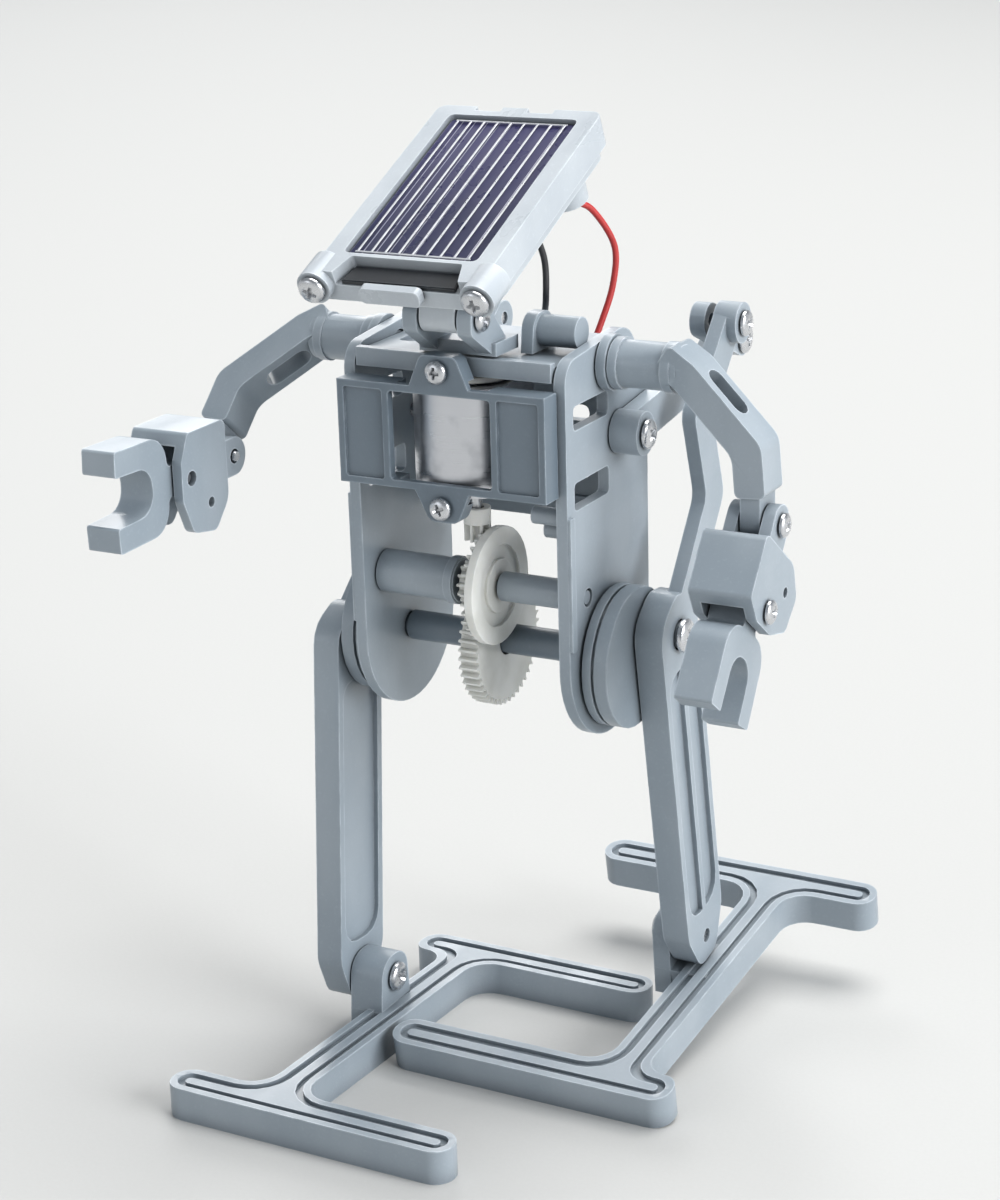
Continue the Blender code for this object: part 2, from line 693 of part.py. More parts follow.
FOOT_X = {1: 31.0, -1: -18.5}  # middle of each foot's long bar
LUG_T = {1: 3.2, -1: 6.4}  # thickness of each ankle lug
RIGHT_BAR_END = 36.8  # the right foot's rear bar stops short of the left ankle
FOOT_BACK_RIGHT = -8.0  # middle of the right foot, from its ankle, in y
FOOT_PITCH = {1: LEAN_LEFT, -1: 0.0}


def foot_back(side):
    """The middle of a foot from its ankle. The left toe touches z = 0 with its heel up."""
    if side < 0:
        return FOOT_BACK_RIGHT
    pitch = math.radians(FOOT_PITCH[side])
    reach = (ankle(side)[1] - ANKLE_H * math.cos(pitch)) / math.sin(pitch)
    return FOOT_L / 2 + FOOT_W / 2 - reach


def make_feet():
    for side, name in ((1, "left"), (-1, "right")):
        y, z = ankle(side)
        lug_y = -foot_back(side)
        x = FOOT_X[side]
        inner_face = side * (LEG_IN - GAP)
        other_face = side * (LEG_IN - GAP - LUG_T[side])
        low, high = sorted((inner_face - x, other_face - x))
        if side > 0:
            # The left foot is the same frame turned half round.
            solid = moved(foot(-high, -low, -lug_y, FOOT_B[1]), Matrix.Rotation(math.pi, 4, "Z"))
        else:
            solid = foot(low, high, lug_y, RIGHT_BAR_END)
        solid = moved(solid, Matrix.Translation((x, y - lug_y, z - ANKLE_H)))
        solid = moved(solid, turned_x(FOOT_PITCH[side], (y, z)))
        add("foot_" + name, solid, "grey_plastic", (inner_face, y, z))
        head = abs(other_face) - 0.3
        tip = LEG_IN + LEG_T - 0.5
        pin = screw("x", (y, z), head - 1.3, head, 2.6, tip=tip, shank_r=1.0, slot_at_high=False)
        add("ankle_screw_" + name, pin if side > 0 else mirrored(pin), "steel", (inner_face, y, z))


# ---- arms, hands and claws --------------------------------------------------------------------
ARM_T = 5.2  # thickness of the arm's bar
ELBOW = (46.2, -11.6)  # middle of the elbow, (x, z from the shoulder axis)
WRIST = (46.6, -24.0)
CLAW_DROP = 14.6  # claw pivot below the wrist axis
HAND_HALF = 5.4  # half width of the hand, outside
HAND_IN = 3.6  # half width of the hand, inside
HAND_WALL = 2.2  # thickness of the hand's roof
PRONG_END = 17.6  # tips of the claw's prongs below its pivot
PRONG_HALF = 3.2  # half width of the claw


def tab(half, foot_z, axis_z):
    """The outline of a lug: square at foot_z and round about its axis, (y, z)."""
    far = axis_z + math.copysign(half, axis_z - foot_z)
    round_r = half * 0.98
    return rounded([(-half, foot_z, 0), (half, foot_z, 0), (half, far, round_r), (-half, far, round_r)], 7)


def arm():
    """The left arm hanging down, with the shoulder axis on z = 0 and y = 0."""
    centre = (0, 0)
    barrel = rod("x", centre, 3.9, 22.4, 34.0)
    collar = rod("x", centre, 4.3, 22.3, 23.8)
    cuff = rod("x", centre, 4.2, 31.4, 33.0)
    bend = [(33.6, 0.8), (35.4, -0.4), ELBOW, (WRIST[0], WRIST[1] + 7.4)]
    bar = prism(strip(bend, ARM_T, end_radius=1.0, bend=4.0), "y", -3.7, 3.7)
    slope = math.atan2(ELBOW[1] + 0.4, ELBOW[0] - 35.4)
    slot = prism(round_rect(-4.4, -1.9, 4.4, 1.9, 1.7, 3), "z", -8, 8)
    tip = Matrix.Translation((39.6, 0, -5.0)) @ Matrix.Rotation(-slope, 4, "Y")
    tongue = prism(tab(3.2, 6.2, 0.0), "x", WRIST[0] - 1.7, WRIST[0] + 1.7)
    tongue = moved(tongue, Matrix.Translation((0, 0, WRIST[1])))
    body = plus(minus(plus(barrel, collar, cuff, bar), moved(slot, tip)), tongue)
    bores = joined([rod("x", centre, 2.3, 20, 31.6, 20), rod("x", (0, WRIST[1]), 1.3, 40, 55, 12)])
    return minus(body, bores)


def hand():
    """A hooded hand hanging down, with the wrist axis on z = 0 and y = 0 and its roof to the front."""
    x = WRIST[0]
    front, rear, top, low = -7.8, 10.6, -4.3, -17.4
    side = rounded(
        [
            (front, top, 1.4), (6.0, top, 4.0), (rear, -8.4, 2.0), (9.4, -14.8, 2.0), (3.4, low, 2.6),
            (-3.2, low, 2.0), (front, -15.2, 1.0),
        ]
    )
    inner_front, inner_top = front + HAND_WALL, top - HAND_WALL
    hollow = rounded([(inner_front, inner_top, 1.0), (14, inner_top, 0), (14, -24, 0), (inner_front, -24, 0)])
    hood = minus(prism(side, "x", x - HAND_HALF, x + HAND_HALF), prism(hollow, "x", x - HAND_IN, x + HAND_IN))
    fork = prism(tab(3.3, top - 0.6, 0.0), "x", x - 4.1, x + 4.1)
    fork = minus(fork, block(x - 2.05, x + 2.05, -6, 6, top + 0.3, 6))
    bores = joined(
        [
            rod("x", (0, 0), 1.3, 38, 55, 12),
            rod("x", (0, -CLAW_DROP), 1.3, 38, 55, 12),
            rod("x", (5.4, -9.4), 0.9, 38, 55, 12),
        ]
    )
    return minus(plus(hood, fork), bores)


def claw():
    """A two-pronged claw hanging down from its pivot at (0, 0) in (y, z)."""
    x = WRIST[0]
    shape = [
        (-2.6, 2.6, 2.5), (2.6, 2.6, 2.5), (2.6, -3.6, 1.0), (8.2, -4.2, 4.6), (8.5, -PRONG_END, 0.5),
        (4.2, -PRONG_END - 0.2, 0.5), (3.9, -8.0, 3.6), (-3.9, -8.0, 3.6), (-4.2, -PRONG_END - 0.2, 0.5),
        (-8.5, -PRONG_END, 0.5), (-8.2, -4.2, 4.6), (-2.6, -3.6, 1.0),
    ]
    body = prism(rounded(shape, 7), "x", x - PRONG_HALF, x + PRONG_HALF)
    return minus(body, rod("x", (0, 0), 1.3, 40, 55, 12))


def make_arms():
    for side, name in ((1, "left"), (-1, "right")):
        raise_by = 0.0 if side > 0 else ARM_RAISE_RIGHT
        bend_by = HAND_LEFT if side > 0 else HAND_RIGHT
        # A turn about +X by minus the angle swings what hangs down to the front.
        shoulder = Matrix.Translation((0, *SHOULDER)) @ Matrix.Rotation(math.radians(-raise_by), 4, "X")
        wrist_point = shoulder @ Vector((0, 0, WRIST[1]))
        wrist = Matrix.Translation(wrist_point) @ Matrix.Rotation(math.radians(-bend_by), 4, "X")
        claw_point = wrist @ Vector((0, 0, -CLAW_DROP))
        curl_by = CLAW_LEFT if side > 0 else CLAW_RIGHT
        grip = Matrix.Translation(claw_point) @ Matrix.Rotation(math.radians(-curl_by), 4, "X")
        wrist_head, claw_head, end = WRIST[0] + 4.4, WRIST[0] + HAND_HALF + GAP, WRIST[0] - 4.6
        wrist_pin = screw("x", (0, 0), wrist_head, wrist_head + 1.0, 2.0, tip=end, shank_r=1.0)
        claw_pin = screw("x", (0, -CLAW_DROP), claw_head, claw_head + 1.0, 2.0, tip=end, shank_r=1.0)
        pieces = (
            ("arm_", moved(arm(), shoulder), "grey_plastic", SHOULDER),
            ("hand_", moved(hand(), wrist), "grey_plastic", wrist_point[1:]),
            ("wrist_screw_", moved(wrist_pin, wrist), "steel", wrist_point[1:]),
            ("claw_", moved(claw(), grip), "pale_plastic", claw_point[1:]),
            ("claw_screw_", moved(claw_pin, wrist), "steel", claw_point[1:]),
        )
        for label, solid, look, origin in pieces:
            if side < 0:
                solid = mirrored(solid)
            add(label + name, solid, look, (side * WRIST[0], *origin))


# ---- solar panel ----------------------------------------------------------------------------------
PANEL_W = 30.0
PANEL_L = 47.0
PANEL_T = 5.0
PANEL_FRONT = (-30.0, 141.0)  # lower front edge of the tray, (y, z)


def panel_place():
    """Panel coordinates: x across, y up the slope from the lower edge, z out of the cell's face."""
    return Matrix.Translation((0, *PANEL_FRONT)) @ Matrix.Rotation(math.radians(TILT), 4, "X")


def make_panel():
    place = panel_place()
    half = PANEL_W / 2
    tray = prism(round_rect(-half, 0.0, half, PANEL_L, 1.6, 3), "z", -PANEL_T + 1.6, 2.0)
    well = prism(round_rect(-half + 3.2, 5.2, half - 3.2, PANEL_L - 2.6, 1.0, 3), "z", 0.0, 3.0)
    recess = [(-half + 3.6, -1.0, 0), (half - 3.6, -1.0, 0), (half - 5.2, 4.4, 0.6), (-half + 5.2, 4.4, 0.6)]
    dark = prism(rounded(recess, 3), "z", -0.4, 3.0)
    notches = joined([block(x - 2.4, x + 2.4, PANEL_L - 1.2, PANEL_L + 1, 0.8, 3) for x in (4.0, -5.5)])
    ears = [prism(circle((s * (half - 0.6), -0.4), 2.9, 24), "y", -1.4, 4.6) for s in (-1, 1)]
    tray = minus(plus(tray, *ears), well, dark, notches)
    bores = joined([rod("y", (s * (half - 0.6), -0.4), 1.2, -3, 4, 12) for s in (-1, 1)])
    add("panel_tray", moved(minus(tray, bores), place), "pale_plastic", (0, *NECK))

    cover = round_rect(-half + 1.0, 6.0, half - 1.0, PANEL_L - 1.0, 1.6, 3)
    back = prism(cover, "z", -PANEL_T - 0.6, -PANEL_T + 1.3)
    boss = rod("z", (half - 5.0, PANEL_L - 9.0), 3.6, -PANEL_T - 4.2, -PANEL_T, 24)
    back = moved(plus(back, boss), place)
    y, z = NECK
    knuckle = prism(strip([NECK, (y + 0.6, z + 5.4)], 5.0), "x", -2.2, 4.2)
    back = minus(plus(back, knuckle), rod("x", NECK, 1.3, -9, 12, 16))
    add("panel_back", back, "grey_plastic", (0, *NECK))

    cell = prism(round_rect(-half + 3.6, 5.6, half - 3.6, PANEL_L - 3.0, 0.6, 2), "z", 0.3, 1.2)
    add("solar_cell", moved(cell, place), "silicon", (0, *NECK))
    rows = [
        prism(rect(x - 0.18, 6.2, x + 0.18, PANEL_L - 3.6), "z", 1.5, 1.62)
        for x in [-9.8 + 2.45 * k for k in range(9)]
    ]
    ends = joined([prism(rect(-10.2, y, 10.2, y + 0.4), "z", 1.5, 1.62) for y in (6.0, PANEL_L - 3.9)])
    add("cell_contacts", moved(plus(joined(rows), ends), place), "steel", (0, *NECK))
    for s, name in ((1, "left"), (-1, "right")):
        pin = screw("y", (s * (half - 0.6), -0.4), -2.9, -1.7, 2.3, tip=3.0, slot_at_high=False)
        add("panel_screw_" + name, moved(pin, place), "steel", (0, *NECK))
    tab_corners = [(-6.0, -2.2, 0.8), (4.6, -2.2, 0.8), (4.6, 0.6, 0.8), (-6.0, 0.6, 0.8)]
    clip = prism(rounded(tab_corners, 3), "y", -1.9, -0.3)
    add("panel_clip", moved(clip, place), "pale_plastic", (0, *NECK))


def smooth_line(points, spacing):
    """Evenly spaced points on a Catmull-Rom curve through the given ones."""
    knots = [Vector(p) for p in points]
    knots = [2 * knots[0] - knots[1]] + knots + [2 * knots[-1] - knots[-2]]
    dense = []
    for a, b, c, d in zip(knots, knots[1:], knots[2:], knots[3:]):
        for k in range(20):
            t = k / 20
            dense.append(
                0.5 * (2 * b + (c - a) * t
                       + (2 * a - 5 * b + 4 * c - d) * t**2
                       + (3 * b - a - 3 * c + d) * t**3)
            )
    dense.append(knots[-2])
    line, run = [dense[0]], 0.0
    for a, b in zip(dense, dense[1:]):
        run += (b - a).length
        if run >= spacing:
            line.append(b)
            run = 0.0
    line[-1] = dense[-1]
    return line


WIRE_R = 0.55
BLACK_WIRE = [
    (7.0, 0.0, 147.7), (7.4, 1.6, 144.6), (8.4, 3.0, 139.6), (8.4, 3.2, 133.6),
    (6.4, 6.2, 129.4), (5.0, 8.0, 126.6), (5.0, 8.0, 122.0),
]
RED_WIRE = [
    (9.8, 10.6, 148.2), (11.8, 14.0, 146.2), (14.0, 17.4, 140.0), (13.8, 17.2, 133.6),
    (12.6, 15.0, 127.4), (11.4, 12.8, 123.2), (9.8, 9.8, 122.3), (8.2, 7.0, 122.3),
]


def make_wire(name, route, look):
    curve = bpy.data.curves.new(name, "CURVE")
    curve.dimensions = "3D"
    curve.bevel_depth = WIRE_R * MM
    curve.bevel_resolution = 2
    curve.use_fill_caps = True
    line = smooth_line(route, 1.5)
    spline = curve.splines.new("POLY")
    spline.points.add(len(line) - 1)
    for point, place in zip(spline.points, line):
        point.co = (*(place * MM), 1.0)
    made = bpy.data.objects.new(name, curve)
    made.data.materials.append(material(look))
    bpy.context.scene.collection.objects.link(made)


def main():
    for spare in list(bpy.data.objects):
        bpy.data.objects.remove(spare)
    make_side_plates()
    make_motor_bracket()
    make_motor()
    make_top_plate()
    make_rear_brace()
    make_arbor_tube()
    make_neck()
    make_top_tube()
    make_shoulder_sockets()
    make_rear_arms()
    make_torso_screws()
    make_crank_shaft()
    make_output_gear()
    make_crown_gear()
    make_motor_rotor()
    make_crank_discs()
    make_legs()
    make_rockers()
    make_feet()
    make_arms()
    make_panel()
    make_wire("wire_black", BLACK_WIRE, "black_wire")
    make_wire("wire_red", RED_WIRE, "red_wire")
    for piece in bpy.data.objects:
        piece.location.y += STAND_Y * MM


main()
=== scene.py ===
import json
import math

import bmesh
import bpy
from mathutils import Matrix, Vector

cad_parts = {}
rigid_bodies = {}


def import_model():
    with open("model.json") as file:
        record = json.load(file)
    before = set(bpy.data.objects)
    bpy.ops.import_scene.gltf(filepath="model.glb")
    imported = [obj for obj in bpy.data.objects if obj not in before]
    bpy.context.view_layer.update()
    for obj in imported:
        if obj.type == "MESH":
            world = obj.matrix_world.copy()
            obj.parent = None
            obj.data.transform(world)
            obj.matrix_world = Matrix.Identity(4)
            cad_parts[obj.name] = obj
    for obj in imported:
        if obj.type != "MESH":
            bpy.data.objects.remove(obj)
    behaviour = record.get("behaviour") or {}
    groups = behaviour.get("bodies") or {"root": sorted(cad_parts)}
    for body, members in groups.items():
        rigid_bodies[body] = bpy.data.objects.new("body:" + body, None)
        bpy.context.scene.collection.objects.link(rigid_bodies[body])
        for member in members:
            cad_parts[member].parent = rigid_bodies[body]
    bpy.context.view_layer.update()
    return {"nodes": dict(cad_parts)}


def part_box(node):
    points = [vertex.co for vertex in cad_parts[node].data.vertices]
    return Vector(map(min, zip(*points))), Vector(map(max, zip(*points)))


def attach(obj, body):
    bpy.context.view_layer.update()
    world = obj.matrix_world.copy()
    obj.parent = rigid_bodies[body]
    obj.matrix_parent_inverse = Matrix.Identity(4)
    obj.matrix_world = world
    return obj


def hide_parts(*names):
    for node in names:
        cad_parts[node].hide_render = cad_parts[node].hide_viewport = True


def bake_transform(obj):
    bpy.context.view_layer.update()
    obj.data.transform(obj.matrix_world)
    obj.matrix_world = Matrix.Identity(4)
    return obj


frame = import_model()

MM = 0.001
NODES = frame["nodes"]
TILT = math.radians(25)  # the solar panel's slope at rest
ALONG = Vector((0, math.cos(TILT), math.sin(TILT)))  # up the panel
PROUD = Vector((0, -math.sin(TILT), math.cos(TILT)))  # out of the panel


# ---- camera, lights and floor ------------------------------------------------
def aim(obj, place, target, up=Vector((0, 0, 1))):
    back = (place - target).normalized()
    right = up.cross(back).normalized()
    turn = Matrix((right, back.cross(right), back)).transposed().to_4x4()
    obj.matrix_world = Matrix.Translation(place) @ turn


def make_camera():
    azimuth, elevation, roll = math.radians(28.56), math.radians(18.29), math.radians(-1.66)
    target = Vector((0.0, 1.4, 81.5)) * MM
    distance = 0.4424
    right = Vector((math.cos(azimuth), math.sin(azimuth), 0))
    back = Vector((
        math.sin(azimuth) * math.cos(elevation),
        -math.cos(azimuth) * math.cos(elevation),
        math.sin(elevation),
    ))
    up = back.cross(right)
    data = bpy.data.cameras.new("camera")
    data.sensor_fit = "VERTICAL"
    data.angle = math.radians(25.9)
    data.clip_start = 0.01
    data.clip_end = 50
    cam = bpy.data.objects.new("camera", data)
    bpy.context.collection.objects.link(cam)
    aim(cam, target + back * distance, target, up * math.cos(roll) - right * math.sin(roll))
    bpy.context.scene.camera = cam


def softbox(name, place, target, size, watts, tint=(1, 1, 1)):
    data = bpy.data.lights.new(name, "AREA")
    data.shape = "RECTANGLE"
    data.size, data.size_y = size
    data.energy = watts
    data.color = tint
    lamp = bpy.data.objects.new(name, data)
    bpy.context.collection.objects.link(lamp)
    aim(lamp, Vector(place), Vector(target), Vector((0, 1, 0.01)))


def make_studio():
    middle = (0, 0, 0.08)
    softbox("overhead", (0.30, 0.70, 2.40), middle, (1.9, 1.6), 60, (1.0, 0.99, 0.97))
    softbox("side", (2.60, -0.30, 1.15), middle, (1.3, 1.8), 74, (0.98, 0.99, 1.0))
    softbox("front", (-1.30, -2.50, 0.95), middle, (1.2, 1.5), 6, (0.93, 0.96, 1.0))
    softbox("rear", (-1.60, 2.10, 1.50), middle, (1.2, 1.5), 25)
    world = bpy.data.worlds.new("studio")
    world.use_nodes = True
    sky = world.node_tree.nodes["Background"]
    coords = world.node_tree.nodes.new("ShaderNodeTexCoord")
    split = world.node_tree.nodes.new("ShaderNodeSeparateXYZ")
    world.node_tree.links.new(coords.outputs["Generated"], split.inputs[0])
    walls = ramp(world.node_tree, split.outputs["Z"], 0.05, 0.40)
    shade = mix(world.node_tree, walls, (0.66, 0.68, 0.70), (0.27, 0.29, 0.31))
    world.node_tree.links.new(shade, sky.inputs["Color"])
    sky.inputs["Strength"].default_value = 1.0
    bpy.context.scene.world = world
    bpy.context.scene.view_settings.view_transform = "Standard"

    mesh = bpy.data.meshes.new("floor")
    radius, sides = 2.9, 96
    turn = [2 * math.pi * k / sides for k in range(sides)]
    rim = [(radius * math.cos(a), radius * math.sin(a), 0) for a in turn]
    mesh.from_pydata(rim, [], [tuple(range(sides))])
    floor = bpy.data.objects.new("floor", mesh)
    bpy.context.collection.objects.link(floor)
    mat, tree, shader = new_material("floor_paper")
    speckle = noise(tree, 1400, 3)
    colour = mix(tree, speckle, (0.53, 0.53, 0.52), (0.56, 0.56, 0.55))
    tree.links.new(colour, shader.inputs["Base Color"])
    shader.inputs["Roughness"].default_value = 0.75
    mesh.materials.append(mat)


# ---- material building blocks --------------------------------------------------
def new_material(name):
    mat = bpy.data.materials.new(name)
    mat.use_nodes = True
    return mat, mat.node_tree, mat.node_tree.nodes["Principled BSDF"]


def feed(tree, socket, value):
    """Links value into socket when it is a socket, or sets it."""
    if isinstance(value, bpy.types.NodeSocket):
        tree.links.new(value, socket)
    elif isinstance(value, tuple) and socket.type == "RGBA":
        socket.default_value = (*value, 1)
    else:
        socket.default_value = value


def place_of(tree, stretch=(1, 1, 1), turn=(0, 0, 0)):
    """The surface point in the robot's own frame, stretched and turned."""
    coords = tree.nodes.new("ShaderNodeTexCoord")
    mapping = tree.nodes.new("ShaderNodeMapping")
    mapping.inputs["Scale"].default_value = stretch
    mapping.inputs["Rotation"].default_value = turn
    tree.links.new(coords.outputs["Object"], mapping.inputs["Vector"])
    return mapping.outputs["Vector"]


def noise(tree, scale, detail=2, stretch=(1, 1, 1), rough=0.5):
    made = tree.nodes.new("ShaderNodeTexNoise")
    made.inputs["Scale"].default_value = scale
    made.inputs["Detail"].default_value = detail
    made.inputs["Roughness"].default_value = rough
    tree.links.new(place_of(tree, stretch), made.inputs["Vector"])
    return made.outputs["Fac"]


def maths(tree, how, a, b=0.0, c=0.0, clamp=False):
    made = tree.nodes.new("ShaderNodeMath")
    made.operation = how
    made.use_clamp = clamp
    for socket, value in zip(made.inputs, (a, b, c)):
        feed(tree, socket, value)
    return made.outputs[0]


def ramp(tree, value, low, high, to_low=0.0, to_high=1.0):
    made = tree.nodes.new("ShaderNodeMapRange")
    made.interpolation_type = "SMOOTHSTEP"
    parts = {"Value": value, "From Min": low, "From Max": high, "To Min": to_low, "To Max": to_high}
    for name, part in parts.items():
        feed(tree, made.inputs[name], part)
    return made.outputs["Result"]


def mix(tree, factor, a, b):
    made = tree.nodes.new("ShaderNodeMix")
    made.data_type = "RGBA"
    feed(tree, made.inputs[0], factor)
    feed(tree, made.inputs[6], a)
    feed(tree, made.inputs[7], b)
    return made.outputs[2]


def bump(tree, shader, layers):
    """Stacks bump layers (height, strength, distance in mm) on the shader."""
    normal = None
    for height, strength, distance in layers:
        made = tree.nodes.new("ShaderNodeBump")
        made.inputs["Strength"].default_value = strength
        made.inputs["Distance"].default_value = distance * MM
        tree.links.new(height, made.inputs["Height"])
        if normal is not None:
            tree.links.new(normal, made.inputs["Normal"])
        normal = made.outputs["Normal"]
    tree.links.new(normal, shader.inputs["Normal"])


def edges(tree, radius):
    """1 along sharp edges and 0 on flats."""
    rounded = tree.nodes.new("ShaderNodeBevel")
    rounded.samples = 6
    rounded.inputs["Radius"].default_value = radius * MM
    true = tree.nodes.new("ShaderNodeNewGeometry")
    dot = tree.nodes.new("ShaderNodeVectorMath")
    dot.operation = "DOT_PRODUCT"
    tree.links.new(rounded.outputs["Normal"], dot.inputs[0])
    tree.links.new(true.outputs["Normal"], dot.inputs[1])
    return ramp(tree, maths(tree, "SUBTRACT", 1.0, dot.outputs["Value"]), 0.02, 0.22)


def shade_occlusion(tree, distance):
    """1 in the open and towards 0 in corners; the mask for the shade painted into corners."""
    made = tree.nodes.new("ShaderNodeAmbientOcclusion")
    made.samples = 6
    made.inputs["Distance"].default_value = distance * MM
    return made.outputs["AO"]


# ---- materials -----------------------------------------------------------------
def moulded(name, dark, light, rough=0.36, wear=(0.62, 0.68, 0.74), gloss=0.35):
    """Satin injection-moulded ABS: flow marks, fine grain, burnished edges, painted shade in corners."""
    mat, tree, shader = new_material(name)
    flow = ramp(tree, noise(tree, 55, 4, (1, 1, 0.45)), 0.34, 0.66)
    body = mix(tree, flow, dark, light)
    grain = noise(tree, 1700, 2)
    body = mix(tree, ramp(tree, grain, 0.55, 0.75, 0, 0.10), body, tuple(c * 1.5 for c in light))
    patches = ramp(tree, noise(tree, 240, 4), 0.36, 0.58, 0.25, 0.9)
    worn = maths(tree, "MULTIPLY", edges(tree, 0.55), patches)
    body = mix(tree, worn, body, wear)
    # painted shade: the colour falls towards dark * 0.42 in corners and between parts
    painted_shade_mask = ramp(tree, shade_occlusion(tree, 5.0), 0.15, 0.90)
    shaded = mix(tree, painted_shade_mask, tuple(c * 0.42 for c in dark), body)
    tree.links.new(shaded, shader.inputs["Base Color"])
    smears = ramp(tree, noise(tree, 150, 5, (1, 0.3, 1)), 0.3, 0.7, rough - 0.07, rough + 0.12)
    polished = maths(tree, "MULTIPLY", worn, 0.08)
    tree.links.new(maths(tree, "SUBTRACT", smears, polished), shader.inputs["Roughness"])
    shader.inputs["Specular IOR Level"].default_value = 0.55
    shader.inputs["Coat Weight"].default_value = gloss * 0.4
    shader.inputs["Coat Roughness"].default_value = 0.30
    scratches = noise(tree, 900, 3, (0.12, 0.12, 1.0))
    waves = noise(tree, 85, 2)
    bump(tree, shader, [(waves, 0.35, 0.10), (grain, 0.22, 0.03), (scratches, 0.12, 0.02)])
    return mat


def gear_plastic():
    """Off-white acetal, a little see-through, with rubbed tooth edges and painted shade in corners."""
    mat, tree, shader = new_material("white_gear_acetal")
    cloud = ramp(tree, noise(tree, 130, 3), 0.35, 0.65)
    body = mix(tree, cloud, (0.70, 0.70, 0.66), (0.80, 0.80, 0.77))
    # painted shade: darker off-white in corners and between the teeth
    painted_shade_mask = ramp(tree, shade_occlusion(tree, 1.6), 0.10, 0.80)
    body = mix(tree, painted_shade_mask, (0.40, 0.40, 0.37), body)
    worn = maths(tree, "MULTIPLY", edges(tree, 0.25), 0.5)
    tree.links.new(mix(tree, worn, body, (0.90, 0.90, 0.88)), shader.inputs["Base Color"])
    smears = ramp(tree, noise(tree, 300, 3), 0.3, 0.7, 0.30, 0.46)
    tree.links.new(smears, shader.inputs["Roughness"])
    shader.inputs["Subsurface Weight"].default_value = 0.35
    shader.inputs["Subsurface Radius"].default_value = (1.0, 0.95, 0.85)
    shader.inputs["Subsurface Scale"].default_value = 1.2 * MM
    bump(tree, shader, [(noise(tree, 1500, 2), 0.15, 0.02)])
    return mat


# deep is the tone of the dull spots and, halved, of the shade painted into corners
def metal(name, tint, rough, stretch, deep=(0.30, 0.31, 0.33)):
    """Drawn or turned steel: fine lines along its working direction, a few dull spots, painted shade in
    corners.
    """
    mat, tree, shader = new_material(name)
    lines = noise(tree, 900, 3, stretch, 0.6)
    spots = ramp(tree, noise(tree, 180, 4), 0.52, 0.72)
    body = mix(tree, lines, tuple(c * 0.93 for c in tint), tint)
    body = mix(tree, maths(tree, "MULTIPLY", spots, 0.25), body, deep)
    # painted shade: half the dull tone in corners and recesses
    painted_shade_mask = ramp(tree, shade_occlusion(tree, 1.2), 0.10, 0.75)
    body = mix(tree, painted_shade_mask, tuple(c * 0.5 for c in deep), body)
    tree.links.new(body, shader.inputs["Base Color"])
    shader.inputs["Metallic"].default_value = 1.0
    drawn = ramp(tree, lines, 0.3, 0.7, rough - 0.03, rough + 0.04)
    tree.links.new(maths(tree, "MULTIPLY_ADD", spots, 0.14, drawn), shader.inputs["Roughness"])
    bump(tree, shader, [(lines, 0.06, 0.004)])
    return mat


def silicon():
    """The solar cell: blue-violet silicon, thin printed fingers along it, clear epoxy on top."""
    mat, tree, shader = new_material("solar_silicon")
    flat = tree.nodes.new("ShaderNodeSeparateXYZ")
    tree.links.new(place_of(tree), flat.inputs[0])
    low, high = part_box("solar_cell")
    width = high.x - low.x
    fingers = 10
    step = maths(tree, "DIVIDE", maths(tree, "SUBTRACT", flat.outputs["X"], low.x), width / fingers)
    saw = maths(tree, "ABSOLUTE", maths(tree, "SUBTRACT", maths(tree, "FRACT", step), 0.5))
    line = ramp(tree, saw, 0.458, 0.474)
    grains = ramp(tree, noise(tree, 90, 2), 0.30, 0.70)
    body = mix(tree, grains, (0.009, 0.012, 0.050), (0.015, 0.017, 0.066))
    # the colour turns lighter violet towards the cell's upper end
    up_the_cell = ramp(tree, flat.outputs["Y"], low.y, high.y)
    body = mix(tree, maths(tree, "MULTIPLY", up_the_cell, 0.55), body, (0.070, 0.062, 0.165))
    body = mix(tree, line, body, (0.50, 0.50, 0.60))
    tree.links.new(body, shader.inputs["Base Color"])
    tree.links.new(maths(tree, "MULTIPLY", line, 0.7), shader.inputs["Metallic"])
    smears = ramp(tree, noise(tree, 200, 2), 0.3, 0.7, 0.26, 0.33)
    tree.links.new(smears, shader.inputs["Roughness"])
    shader.inputs["Specular IOR Level"].default_value = 0.35
    shader.inputs["Coat Weight"].default_value = 0.20
    shader.inputs["Coat Roughness"].default_value = 0.16
    bump(tree, shader, [(noise(tree, 40, 1), 0.05, 0.05)])
    return mat


def insulation(name, dark, light):
    """Thin PVC lead: satin skin with faint draw lines."""
    mat, tree, shader = new_material(name)
    tree.links.new(mix(tree, noise(tree, 400, 3), dark, light), shader.inputs["Base Color"])
    smears = ramp(tree, noise(tree, 700, 2), 0.3, 0.7, 0.30, 0.48)
    tree.links.new(smears, shader.inputs["Roughness"])
    shader.inputs["Coat Weight"].default_value = 0.25
    shader.inputs["Coat Roughness"].default_value = 0.25
    bump(tree, shader, [(noise(tree, 1600, 2), 0.2, 0.02)])
    return mat


MATERIALS = {}


